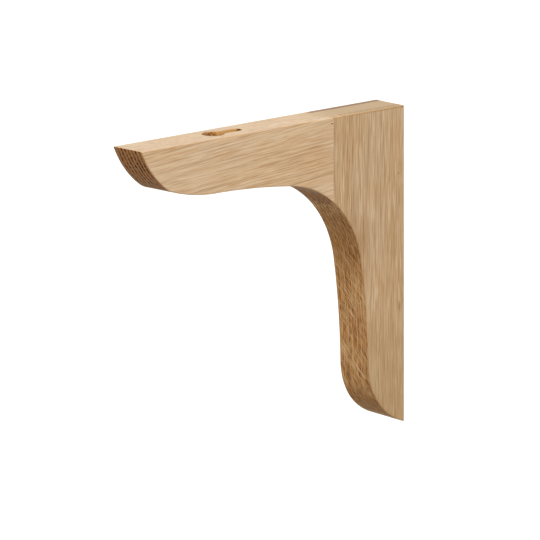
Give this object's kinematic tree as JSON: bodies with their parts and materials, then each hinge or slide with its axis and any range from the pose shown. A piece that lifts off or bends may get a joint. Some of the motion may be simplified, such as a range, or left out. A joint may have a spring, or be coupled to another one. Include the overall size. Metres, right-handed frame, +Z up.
{
  "type": "wooden corbel bracket",
  "caption": "Oak shelf bracket with an upturned arm and a swept inner corner, joined by a bridle joint, with keyhole slots for the shelf and the wall.",
  "frame": {"origin": "centre of the flat back face, which lies against the wall", "axes": "+Y points into the wall, -Y along the arm to its tip, +Z up to the shelf face, X across the thickness"},
  "size_m": [0.032, 0.28, 0.25],
  "materials": {
    "arm_oak": "planed and sanded oak under a thin matt oil, grain along the arm",
    "leg_oak": "planed and sanded oak under a thin matt oil, grain up the leg"
  },
  "bodies": {
    "root": {"arm": "arm_oak", "leg": "leg_oak"}
  },
  "joints": []
}
